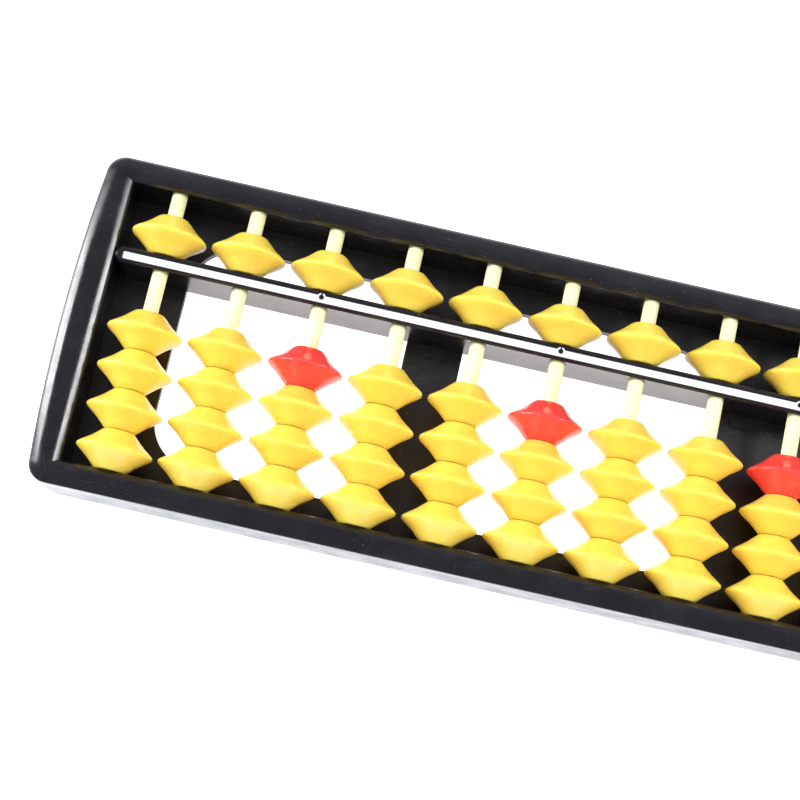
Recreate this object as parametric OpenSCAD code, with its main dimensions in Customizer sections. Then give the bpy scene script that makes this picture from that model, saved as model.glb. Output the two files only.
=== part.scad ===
// Seventeen-rod bead abacus (soroban), one bead above the bar and four below.
// X runs along the length, +Y towards the deck of single beads, +Z up.
// Origin: middle of the underside, on the surface the frame lies on.

/* [Layout] */
// Number of rods
rod_count = 17; // [13:2:23]
// Distance between neighbouring rods
pitch = 14.8; // [14.2:0.1:18.5]
// Space between the last bead and the end wall
end_gap = 1.7; // [0.8:0.05:5]
// How far one bead above the bar slides
heaven_travel = 4.6; // [3:0.1:9]
// How far the beads below the bar slide
earth_travel = 7.8; // [5:0.1:12]
// Gap left between beads that rest against something
bead_play = 0.1; // [0.05:0.01:0.3]

/* [Beads] */
// Bead diameter at the rim
bead_d = 13.8; // [11:0.1:14.1]
// Bead thickness along the rod
bead_t = 7.3; // [6:0.1:9]
// Diameter of the flat end faces
bead_face_d = 5.6; // [4.8:0.1:7]
// Radius of the rounded rim
bead_rim_r = 0.45; // [0.3:0.05:1.2]
// Radial gap between bead and rod
bead_slack = 0.25; // [0.15:0.01:0.4]

/* [Rods] */
// Rod diameter
rod_d = 2.9; // [2.4:0.1:3.5]
// How deep a rod end sits in the rail wall
rod_seat = 1.5; // [1:0.1:1.6]
// Radial gap around a rod in its seat and in the bar
rod_fit = 0.1; // [0.05:0.01:0.15]

/* [Frame] */
// Width of the two long rails
rail_w = 4.6; // [4.4:0.1:7]
// Width of the two end rails in the middle
end_w = 6.6; // [6.4:0.1:9]
// Thickness of the rail walls
wall = 1.6; // [1.4:0.1:1.9]
// Thickness of the top of the rails
rail_top_t = 2; // [1.6:0.1:3]
// Height of the rail tops above the rod axis
rim_rise = 2.8; // [2.6:0.1:4]
// Corner radius in plan
corner_r = 3.5; // [2.4:0.1:4]
// How far the end rails bulge outwards in the middle
end_bow = 1.5; // [0.5:0.1:1.5]
// Height of the slope along the outer top edge
edge_drop = 1; // [0.5:0.1:1.3]
// Width of the slope along the outer top edge
edge_slope_w = 2; // [1:0.1:2.2]
// Height of the slopes round the opening
slope_drop = 1; // [0.4:0.1:1.2]
// Width of the slope inside each end rail
end_slope_w = 2.6; // [1.2:0.1:3]
// Width of the slope inside each long rail
rail_slope_w = 1.5; // [0.5:0.1:1.7]

/* [Base plate] */
// Plate thickness
plate_t = 2; // [1.8:0.1:3]
// How far the plate is let into the outer walls
plate_rebate = 0.4; // [0.2:0.1:0.6]
// Gap between plate and frame
plate_fit = 0.1; // [0.05:0.01:0.2]
// Space between the beads and the plate
floor_gap = 2.3; // [1.5:0.05:4]
// Plate left between window and long rail
window_margin = 4.95; // [3:0.05:8]
// Plate left between window and end rail
window_end_margin = 12.7; // [8:0.1:18]
// Width of the narrow webs
web_w = 10.6; // [8:0.1:13]
// Narrow web position, in rod spacings from the middle
web_place = 4.5; // [3.5:1:4.5]
// Width of the middle web
middle_web_w = 26; // [20:0.5:32]
// Corner radius of the windows
window_r = 9; // [5:0.5:10]
// Length of the raised pads on the webs
pad_l = 5; // [4:0.1:6]
// Width of the raised pads
pad_w = 1.4; // [1:0.1:1.6]
// Height of the raised pads
pad_h = 0.5; // [0.3:0.1:0.8]
// Gap between pads and bar
pad_gap = 0.9; // [0.5:0.1:1.5]

/* [Reckoning bar] */
// Bar width
bar_w = 3; // [2.8:0.1:4]
// Height of the bar top above the rod axis
bar_rise = 2.4; // [2.2:0.1:3]
// Length of the tenon at each end
tenon_l = 1.5; // [1:0.1:1.6]
// Tenon thickness
tenon_w = 1.6; // [1.2:0.1:2]
// Width of the white inlay
inlay_w = 1.3; // [1:0.1:1.6]
// Thickness of the white inlay
inlay_t = 0.4; // [0.3:0.05:0.5]
// How far the inlay lies below the bar top
inlay_sunk = 0.15; // [0.1:0.01:0.2]
// How far the inlay lies in front of the middle of the bar
inlay_shift = 0.15; // [0:0.05:0.25]
// Side gap around the inlay
inlay_fit = 0.03; // [0.02:0.01:0.05]
// Black left beyond each end of the inlay
inlay_end = 1.5; // [1:0.1:4]
// Radius of the white disc around a unit mark
mark_ring_r = 0.8; // [0.7:0.05:0.9]
// Radius of a unit mark
mark_r = 0.45; // [0.3:0.05:0.5]
// How far the unit marks sit behind the middle of the inlay
mark_shift = 0.35; // [0.2:0.05:0.4]
// Every how many rods there is a unit mark
mark_step = 3; // [2:1:4]

/* [Screws] */
// Screw shank diameter
screw_d = 1.9; // [1.6:0.1:2]
// Screw length over all
screw_l = 7; // [5:0.5:8]
// Screw head diameter
head_d = 3.2; // [2.8:0.1:3.4]
// Height of the countersunk head
head_h = 1.1; // [0.9:0.1:1.3]
// Depth of the head below the underside
head_sunk = 0.1; // [0.05:0.05:0.3]
// Gap around a screw
screw_fit = 0.05; // [0.03:0.01:0.1]
// Distance of the end screws from the long rails
end_screw_inset = 6.35; // [5:0.05:10]
// Length of a screw boss in an end rail
boss_l = 6; // [5:0.1:8]

/* [Hidden] */
middle = (rod_count + 1) / 2;
bead_r = bead_d / 2;
rod_r = rod_d / 2;
bore_r = rod_r + bead_slack;
bead_step = bead_t + bead_play;
earth_count = 4;

// Heights
rod_z = plate_t + floor_gap + bead_r;
rim_z = rod_z + rim_rise;
bar_z = rod_z + bar_rise;
channel_z = rim_z - rail_top_t;
tenon_z = bar_z - 2;
slope_h = min(slope_drop, rim_rise - rod_r - rod_fit - 0.2);

// Places along the rods, from the front wall to the back wall
inner_d = earth_count * bead_step + earth_travel + bead_play
    + bar_w + bead_play + bead_t + heaven_travel + bead_play;
front_y = -inner_d / 2;
back_y = inner_d / 2;
earth_low_y = front_y + bead_play + bead_t / 2;
earth_top_y = earth_low_y + (earth_count - 1) * bead_step;
bar_front_y = earth_top_y + bead_t / 2 + earth_travel + bead_play;
bar_y = bar_front_y + bar_w / 2;
inlay_y = bar_y - inlay_shift;
heaven_y = bar_front_y + bar_w + bead_play + bead_t / 2;

// Places across the rods
inner_half = (rod_count - 1) / 2 * pitch + bead_r + end_gap;
half_l = inner_half + end_w;
half_d = inner_d / 2 + rail_w;
bow_r = (half_d * half_d + end_bow * end_bow) / (2 * end_bow);
bow_x = half_l - bow_r;
web_x = web_place * pitch;
pad_x = [-web_x, -pitch / 2, pitch / 2, web_x];
end_screw_x = inner_half + wall + screw_d / 2 + 0.25;
end_screw_y = inner_d / 2 - end_screw_inset;
end_screws = [for (sx = [-1, 1]) for (sy = [-1, 1]) [sx * end_screw_x, sy * end_screw_y, 0]];
bar_screws = [for (x = pad_x) [x, bar_y, 0]];
screw_places = concat(bar_screws, end_screws);

eps = 0.5;
fine = 96;
bow_fn = 1440;

function rod_x(i) = (i - middle) * pitch;
function is_unit(i) = i % mark_step == 0;
function two_digits(i) = str(i < 10 ? "0" : "", i);
function heaven_name(i) = str("heaven_bead_", two_digits(i));
function top_name(i) = str("top_earth_bead_", two_digits(i));
function lower_name(i) = str("lower_earth_beads_", two_digits(i));

// ---------- plan shapes ----------

// Centre of the corner arc of the outline drawn `inset` inside the frame's edge
function corner_radius(inset) = max(corner_r - inset, 0.8);
function corner_y(inset) = half_d - inset - corner_radius(inset);
function corner_x(inset) =
    let (r = bow_r - inset - corner_radius(inset))
    bow_x + sqrt(r * r - corner_y(inset) * corner_y(inset));
// Angle between the X axis and the join of corner arc and bowed end
function corner_turn(inset) = atan2(corner_y(inset), corner_x(inset) - bow_x);

// What a corner arc takes off, for the corner at +X +Y
module corner_waste(inset) {
    r = corner_radius(inset);
    far = 4 * r;
    turn = corner_turn(inset);
    translate([corner_x(inset), corner_y(inset)])
    difference() {
        polygon([[0, 0], [far * cos(turn), far * sin(turn)], [far, far], [0, far]]);
        circle(r, $fn = fine);
    }
}

// Outline of the frame, moved inwards by `inset`: straight sides, bowed ends
module outline(inset) {
    difference() {
        intersection() {
            square([2 * half_l, 2 * (half_d - inset)], center = true);
            translate([bow_x, 0]) circle(bow_r - inset, $fn = bow_fn);
            translate([-bow_x, 0]) circle(bow_r - inset, $fn = bow_fn);
        }
        for (sx = [0, 1])
            for (sy = [0, 1])
                mirror([sx, 0]) mirror([0, sy]) corner_waste(inset);
    }
}

module rounded_rect(x0, x1, y0, y1, r) {
    translate([x0 + r, y0]) square([x1 - x0 - 2 * r, y1 - y0]);
    translate([x0, y0 + r]) square([x1 - x0, y1 - y0 - 2 * r]);
    for (x = [x0 + r, x1 - r])
        for (y = [y0 + r, y1 - r])
            translate([x, y]) circle(r, $fn = fine);
}

module slot_shape(length, width) {
    square([length - width, width], center = true);
    for (side = [-1, 1])
        translate([side * (length - width) / 2, 0]) circle(width / 2, $fn = fine);
}

// ---------- frame ----------

// What the rounded corner takes off the block, for the corner at +X +Y
module block_corner_waste() {
    turn = corner_turn(0);
    far = 4 * corner_r;
    difference() {
        translate([0, 0, -eps])
            linear_extrude(rim_z + 3 * eps)
            polygon([[0, 0], [far * cos(turn), far * sin(turn)], [far, far], [0, far]]);
        sloped_disc(corner_r);
    }
}

// Disc whose top is a cone with the slope of the outer top edge
module sloped_disc(r) {
    rotate_extrude($fn = bow_fn)
    polygon([
        [0, -eps], [r, -eps], [r, rim_z - edge_drop],
        [0, rim_z - edge_drop + r * edge_drop / edge_slope_w]
    ]);
}

// The frame as a solid block: straight sides, bowed ends, sloped outer top edge
module block() {
    difference() {
        intersection() {
            translate([-half_l, 0, 0])
                rotate([90, 0, 90])
                linear_extrude(2 * half_l)
                polygon([
                    [-half_d, 0], [half_d, 0], [half_d, rim_z - edge_drop],
                    [half_d - edge_slope_w, rim_z], [edge_slope_w - half_d, rim_z],
                    [-half_d, rim_z - edge_drop]
                ]);
            translate([bow_x, 0, 0]) rotate([0, 0, 90]) sloped_disc(bow_r);
            translate([-bow_x, 0, 0]) rotate([0, 0, 90]) sloped_disc(bow_r);
        }
        for (sx = [0, 1])
            for (sy = [0, 1])
                mirror([sx, 0, 0]) mirror([0, sy, 0])
                translate([corner_x(0), corner_y(0), 0]) block_corner_waste();
    }
}

// Section of the opening: straight walls, then a slope that runs on above the rails
module flared(half, slope_w) {
    run = slope_w * (1 + eps / slope_h);
    polygon([
        [-half, -eps], [half, -eps], [half, rim_z - slope_h], [half + run, rim_z + eps],
        [-half - run, rim_z + eps], [-half, rim_z - slope_h]
    ]);
}

// The opening inside the rails, flared at the top with mitred corners
module frame_opening() {
    intersection() {
        translate([-half_l, 0, 0])
            rotate([90, 0, 90])
            linear_extrude(2 * half_l)
            flared(back_y, rail_slope_w);
        translate([0, half_d, 0])
            rotate([90, 0, 0])
            linear_extrude(2 * half_d)
            flared(inner_half, end_slope_w);
    }
}

// Hollows moulded into the rails from below; the end rails keep solid bosses
module channels() {
    for (side = [0, 1]) {
        mirror([0, side, 0])
        translate([-inner_half, back_y + wall, -eps])
        cube([2 * inner_half, rail_w - 2 * wall, channel_z + eps]);

        mirror([side, 0, 0])
        difference() {
            translate([inner_half + wall, front_y, -eps])
                cube([end_w - end_bow - 2 * wall, inner_d, channel_z + eps]);
            for (y = [-end_screw_y, end_screw_y])
                translate([inner_half, y - boss_l / 2, -2 * eps])
                    cube([end_w, boss_l, channel_z + 4 * eps]);
        }
    }
}

// Slots in the long walls that the rod ends are laid into from below
module rod_slots() {
    r = rod_r + rod_fit;
    for (side = [0, 1])
        mirror([0, side, 0])
        for (i = [1:rod_count])
            translate([rod_x(i), back_y - eps, 0]) {
                translate([-r, 0, -eps]) cube([2 * r, wall + 2 * eps, rod_z + eps]);
                translate([0, 0, rod_z])
                    rotate([-90, 0, 0])
                    cylinder(r = r, h = wall + 2 * eps, $fn = fine);
            }
}

// Slots in the end walls for the tenons of the bar
module tenon_slots() {
    w = tenon_w + 2 * rod_fit;
    for (side = [0, 1])
        mirror([side, 0, 0])
        translate([inner_half - eps, bar_y - w / 2, -eps])
        cube([wall + 2 * eps, w, tenon_z + rod_fit + eps]);
}

module frame() {
    color("#1b1b1f")
    difference() {
        block();
        frame_opening();
        channels();
        rod_slots();
        tenon_slots();
        translate([0, 0, -eps])
            linear_extrude(plate_t + eps) outline(wall - plate_rebate);
        for (place = end_screws) translate(place) screw_hole();
    }
}

// ---------- base plate ----------

module windows() {
    inner = [middle_web_w / 2, web_x - web_w / 2];
    outer = [web_x + web_w / 2, inner_half - window_end_margin];
    for (side = [0, 1])
        mirror([side, 0])
        for (span = [inner, outer])
            rounded_rect(span[0], span[1], front_y + window_margin,
                back_y - window_margin, window_r);
}

// Tongues that fill the slots under the rod ends and hold the rods up
module keeper_tongues() {
    for (side = [0, 1])
        mirror([0, side, 0])
        for (i = [1:rod_count])
            translate([rod_x(i) - rod_r, back_y + rod_fit, plate_t - eps])
            cube([rod_d, wall - 2 * rod_fit, rod_z - rod_r - rod_fit / 2 - plate_t + eps]);
}

module pads() {
    for (x = pad_x)
        translate([x, bar_front_y - pad_gap - pad_w / 2, plate_t - eps])
        linear_extrude(pad_h + eps) slot_shape(pad_l, pad_w);
}

module base_plate() {
    color("#26262b")
    difference() {
        union() {
            linear_extrude(plate_t)
            difference() {
                outline(wall - plate_rebate + plate_fit);
                windows();
            }
            keeper_tongues();
            pads();
        }
        for (place = screw_places) translate(place) screw_hole();
    }
}

// ---------- reckoning bar ----------

module inlay_shape(grow) {
    half = inner_half - inlay_end + grow;
    square([2 * half, inlay_w + 2 * grow], center = true);
    for (i = [1:rod_count])
        if (is_unit(i))
            translate([rod_x(i), mark_shift]) circle(mark_ring_r + grow, $fn = fine);
}

module unit_marks(r, h) {
    for (i = [1:rod_count])
        if (is_unit(i))
            translate([rod_x(i), inlay_y + mark_shift, bar_z - inlay_sunk - inlay_t])
            cylinder(r = r, h = h, $fn = fine);
}

module reckoning_bar() {
    body_half = inner_half - rod_fit;
    color("#151518")
    union() {
        difference() {
            union() {
                translate([0, 0, plate_t])
                    linear_extrude(bar_z - plate_t)
                    translate([0, bar_y])
                    slot_shape(2 * body_half, bar_w);
                translate([-inner_half - tenon_l, bar_y - tenon_w / 2, plate_t])
                    cube([2 * (inner_half + tenon_l), tenon_w, tenon_z - plate_t]);
            }
            for (i = [1:rod_count])
                translate([rod_x(i), bar_y - bar_w / 2 - eps, rod_z])
                rotate([-90, 0, 0])
                cylinder(r = rod_r + rod_fit, h = bar_w + 2 * eps, $fn = fine);
            translate([0, inlay_y, bar_z - inlay_sunk - inlay_t])
                linear_extrude(inlay_t + inlay_sunk + eps) inlay_shape(inlay_fit);
            for (place = bar_screws) translate(place) screw_hole();
        }
        unit_marks(mark_r, inlay_t);
    }
}

module bar_inlay() {
    color("#f4f4f0")
    difference() {
        translate([0, inlay_y, bar_z - inlay_sunk - inlay_t])
            linear_extrude(inlay_t) inlay_shape(0);
        translate([0, 0, -eps / 2]) unit_marks(mark_r + inlay_fit, inlay_t + eps);
    }
}

// ---------- rods ----------

module rods() {
    color("#ece9cf")
    for (i = [1:rod_count])
        translate([rod_x(i), front_y - rod_seat, rod_z])
        rotate([-90, 0, 0])
        cylinder(r = rod_r, h = inner_d + 2 * rod_seat, $fn = fine);
}

// ---------- screws ----------

module screw_shape(gap) {
    tip = head_sunk + screw_l;
    translate([0, 0, head_sunk])
        cylinder(r1 = head_d / 2 + gap, r2 = screw_d / 2 + gap, h = head_h, $fn = fine);
    cylinder_from(head_sunk + head_h - gap, tip + gap, screw_d / 2 + gap);
}

module cylinder_from(z0, z1, r) {
    translate([0, 0, z0]) cylinder(r = r, h = z1 - z0, $fn = fine);
}

module screw_hole() {
    screw_shape(screw_fit);
    cylinder_from(-eps, head_sunk, head_d / 2 + screw_fit);
}

module base_screws() {
    color("#8d9096")
    for (place = screw_places)
        translate(place)
        difference() {
            screw_shape(0);
            for (turn = [0, 90])
                rotate([0, 0, turn])
                translate([-0.75, -0.2, 0])
                cube([1.5, 0.4, head_sunk + 0.5]);
        }
}

// ---------- beads ----------

// Half profile of a bead: two cones that meet in a rounded rim
module bead_profile() {
    rim_x = bead_r - bead_rim_r;
    face_r = bead_face_d / 2;
    // direction from the rim's centre to where the cone leaves it
    run = rim_x - face_r;
    reach = sqrt(run * run + bead_t * bead_t / 4);
    turn = 180 - atan2(bead_t / 2, run) - acos(bead_rim_r / reach);
    tx = rim_x + bead_rim_r * cos(turn);
    ty = bead_rim_r * sin(turn);
    polygon([
        [bore_r, -bead_t / 2], [face_r, -bead_t / 2], [tx, -ty],
        [tx, ty], [face_r, bead_t / 2], [bore_r, bead_t / 2]
    ]);
    translate([rim_x, 0]) circle(bead_rim_r, $fn = fine);
}

module bead(tint, x, y) {
    color(tint)
    translate([x, y, rod_z])
    rotate([-90, 0, 0])
    rotate_extrude($fn = fine)
    bead_profile();
}

module heaven_bead(i) {
    bead("#f7cf3e", rod_x(i), heaven_y);
}

module top_earth_bead(i) {
    bead(is_unit(i) ? "#e8322c" : "#f7cf3e", rod_x(i), earth_top_y);
}

module lower_earth_beads(i) {
    for (k = [0:earth_count - 2])
        bead("#f7cf3e", rod_x(i), earth_low_y + k * bead_step);
}

// ---------- assembly ----------

frame();
base_plate();
reckoning_bar();
bar_inlay();
rods();
base_screws();
for (i = [1:rod_count]) heaven_bead(i);
for (i = [1:rod_count]) top_earth_bead(i);
for (i = [1:rod_count]) lower_earth_beads(i);
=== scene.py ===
"""Looks of a seventeen-rod bead abacus: frame, base plate, bar, strip, rods, beads and screws.

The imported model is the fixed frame. Lengths in the classes are in millimetres, in the row
frame, and each mesh is written in metres.
"""
import logging
import math
import random
from dataclasses import dataclass, field
from enum import Enum

import bmesh
import bpy
from mathutils import Matrix, Vector


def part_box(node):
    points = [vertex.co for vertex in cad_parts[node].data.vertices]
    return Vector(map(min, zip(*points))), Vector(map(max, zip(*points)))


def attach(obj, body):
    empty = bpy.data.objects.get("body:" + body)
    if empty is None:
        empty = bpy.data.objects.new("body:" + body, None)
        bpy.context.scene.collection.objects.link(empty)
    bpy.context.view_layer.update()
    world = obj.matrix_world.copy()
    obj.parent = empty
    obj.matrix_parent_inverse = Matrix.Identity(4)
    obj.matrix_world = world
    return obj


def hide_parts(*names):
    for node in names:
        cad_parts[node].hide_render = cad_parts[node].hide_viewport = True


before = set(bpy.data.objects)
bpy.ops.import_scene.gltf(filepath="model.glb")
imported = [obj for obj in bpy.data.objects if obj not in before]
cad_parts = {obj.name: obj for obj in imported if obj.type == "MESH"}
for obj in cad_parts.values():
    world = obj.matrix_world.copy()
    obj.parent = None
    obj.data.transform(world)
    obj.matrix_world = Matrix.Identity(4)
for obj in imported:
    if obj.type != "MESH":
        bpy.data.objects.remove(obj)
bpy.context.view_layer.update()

Flat = tuple[float, float]
Point = tuple[float, float, float]
Colour = tuple[float, float, float]

MM = 0.001
log = logging.getLogger("abacus")


class Tint(Enum):
    """The two colours a bead is moulded in."""

    YELLOW = "yellow_bead"
    RED = "red_bead"


# ---------- mesh drafting ----------


class MeshDraft:
    """Points and faces gathered in millimetres, then written as one object."""

    def __init__(self) -> None:
        """Start with nothing drawn."""
        self.points: list[Point] = []
        self.faces: list[tuple[int, ...]] = []

    def ring(self, points: list[Point]) -> list[int]:
        """Add points.

        Args:
            points: places in millimetres, in order.

        Returns:
            The numbers of the new points.
        """
        first = len(self.points)
        self.points.extend(points)
        return list(range(first, len(self.points)))

    def bridge(self, low: list[int], high: list[int]) -> None:
        """Join two closed rings with a band of quads.

        Args:
            low: point numbers of one ring.
            high: point numbers of the other, in the same order.
        """
        count = len(low)
        for i in range(count):
            j = (i + 1) % count
            self.faces.append((low[i], low[j], high[j], high[i]))

    def sweep(self, rings: list[list[Point]], closed: bool = False) -> list[list[int]]:
        """Join ring after ring.

        Args:
            rings: closed rings with the same number of points.
            closed: True to join the last ring to the first as well.

        Returns:
            The point numbers of each ring.
        """
        numbers = [self.ring(points) for points in rings]
        for low, high in zip(numbers, numbers[1:]):
            self.bridge(low, high)
        if closed:
            self.bridge(numbers[-1], numbers[0])
        return numbers

    def fill(self, rings: list[list[int]]) -> None:
        """Fill the flat area between an outer ring and the rings inside it.

        Args:
            rings: point numbers, the outer ring first.
        """
        work = bmesh.new()
        back: dict[bmesh.types.BMVert, int] = {}
        edges = []
        for numbers in rings:
            corners = []
            for number in numbers:
                corner = work.verts.new(self.points[number])
                back[corner] = number
                corners.append(corner)
            for i, corner in enumerate(corners):
                edges.append(work.edges.new((corner, corners[(i + 1) % len(corners)])))
        made = bmesh.ops.triangle_fill(work, use_beauty=True, edges=edges)
        for face in made["geom"]:
            if isinstance(face, bmesh.types.BMFace):
                self.faces.append(tuple(back[corner] for corner in face.verts))
        work.free()

    def lathe(self, profile: list[Flat], place: Point, steps: int, closed: bool = True) -> None:
        """Turn a profile about an axis along Y.

        Args:
            profile: (distance along Y, radius) pairs.
            place: centre of the turned shape.
            steps: how many facets go round.
            closed: True if the profile's end joins its start, as on a ring.
        """
        rings = []
        for along, radius in profile:
            rings.append([
                (
                    place[0] + radius * math.sin(math.tau * k / steps),
                    place[1] + along,
                    place[2] + radius * math.cos(math.tau * k / steps),
                )
                for k in range(steps)
            ])
        numbers = self.sweep(rings, closed=closed)
        if not closed:
            self.faces.append(tuple(numbers[0]))
            self.faces.append(tuple(reversed(numbers[-1])))

    def to_object(self, name: str, crease: float = 32.0) -> bpy.types.Object:
        """Write the draft as an object.

        Args:
            name: name of the object and its mesh.
            crease: edges bent by more than this many degrees stay sharp.

        Returns:
            The new object, linked to the scene.
        """
        mesh = bpy.data.meshes.new(name)
        mesh.from_pydata([[c * MM for c in point] for point in self.points], [], self.faces)
        work = bmesh.new()
        work.from_mesh(mesh)
        bmesh.ops.remove_doubles(work, verts=work.verts, dist=1e-7)
        bmesh.ops.dissolve_degenerate(work, edges=work.edges, dist=1e-8)
        bmesh.ops.recalc_face_normals(work, faces=work.faces)
        work.to_mesh(mesh)
        work.free()
        shape = bpy.data.objects.new(name, mesh)
        bpy.context.scene.collection.objects.link(shape)
        smooth(shape, crease)
        return shape


def smooth(shape: bpy.types.Object, crease: float) -> None:
    """Shade a mesh smooth and keep its sharp bends.

    Args:
        shape: the object to shade.
        crease: edges bent by more than this many degrees stay sharp.
    """
    shape.data.shade_smooth()
    shape.data.set_sharp_from_angle(angle=math.radians(crease))


def even_out(shape: bpy.types.Object) -> None:
    """Let large flat faces set the shading next to them."""
    bend = shape.modifiers.new("flat faces lead", "WEIGHTED_NORMAL")
    bend.keep_sharp = True


def carve(shape: bpy.types.Object, tool: bpy.types.Object, crease: float = 32.0) -> None:
    """Cut one mesh out of another and drop the tool.

    Args:
        shape: the object that is cut.
        tool: the object that is taken away.
        crease: edges bent by more than this many degrees stay sharp.
    """
    cut = shape.modifiers.new("cut", "BOOLEAN")
    cut.operation = "DIFFERENCE"
    cut.solver = "EXACT"
    cut.object = tool
    bpy.context.view_layer.update()
    reader = bpy.context.evaluated_depsgraph_get()
    result = bpy.data.meshes.new_from_object(shape.evaluated_get(reader))
    shape.modifiers.remove(cut)
    shape.data = result
    bpy.data.objects.remove(tool)
    smooth(shape, crease)


def arc(centre: Flat, radius: float, start: float, end: float, steps: int) -> list[Flat]:
    """Points along an arc, its last point left out.

    Args:
        centre: centre of the arc.
        radius: its radius.
        start: first angle in degrees.
        end: last angle in degrees.
        steps: number of points.

    Returns:
        The points, from start on.
    """
    out = []
    for k in range(steps):
        turn = math.radians(start + (end - start) * k / steps)
        out.append((centre[0] + radius * math.cos(turn), centre[1] + radius * math.sin(turn)))
    return out


def lift(points: list[Flat], z: float) -> list[Point]:
    """Put flat points at one height."""
    return [(x, y, z) for x, y in points]


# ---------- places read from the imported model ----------


@dataclass(frozen=True)
class Layout:
    """Where the CAD nodes lie, in millimetres."""

    half_length: float
    half_depth: float
    rim_z: float
    inner_x: float
    inner_y: float
    plate_z: float
    bar_y: float
    bar_z: float
    rods: tuple[float, ...]
    rod_z: float
    rod_r: float
    heaven_y: float
    top_y: float
    lower_ys: tuple[float, ...]
    bead_r: float
    bead_half: float

    @classmethod
    def read(cls, rod_seat: float = 1.5, tenon: float = 1.5, pad: float = 0.5) -> "Layout":
        """Read the places from the boxes of the CAD nodes.

        Args:
            rod_seat: how far a rod end sits in the wall.
            tenon: how far the bar's ends sit in the end walls.
            pad: height of the pads that stand on the plate; not used.

        Returns:
            The layout.
        """
        count = sum(1 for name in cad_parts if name.startswith("heaven_bead_"))
        shell = [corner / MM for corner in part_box("frame")]
        rods = [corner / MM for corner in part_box("rods")]
        bar = [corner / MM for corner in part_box("reckoning_bar")]
        heaven = [
            [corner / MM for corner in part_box(f"heaven_bead_{i:02d}")]
            for i in range(1, count + 1)
        ]
        top = [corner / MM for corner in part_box("top_earth_bead_01")]
        lower = [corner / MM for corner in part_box("lower_earth_beads_01")]
        half = (heaven[0][1].y - heaven[0][0].y) / 2
        first = lower[0].y + half
        last = lower[1].y - half
        return cls(
            half_length=shell[1].x,
            half_depth=shell[1].y,
            rim_z=shell[1].z,
            inner_x=bar[1].x - tenon,
            inner_y=rods[1].y - rod_seat,
            plate_z=bar[0].z,
            bar_y=(bar[0].y + bar[1].y) / 2,
            bar_z=bar[1].z,
            rods=tuple((low.x + high.x) / 2 for low, high in heaven),
            rod_z=(rods[0].z + rods[1].z) / 2,
            rod_r=(rods[1].z - rods[0].z) / 2,
            heaven_y=(heaven[0][0].y + heaven[0][1].y) / 2,
            top_y=(top[0].y + top[1].y) / 2,
            lower_ys=(first, (first + last) / 2, last),
            bead_r=(heaven[0][1].z - heaven[0][0].z) / 2,
            bead_half=half,
        )

    def is_unit(self, rod: int) -> bool:
        """Say whether a rod, counted from 1, carries a unit mark."""
        return rod % 3 == 0


# ---------- shader building ----------


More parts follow.
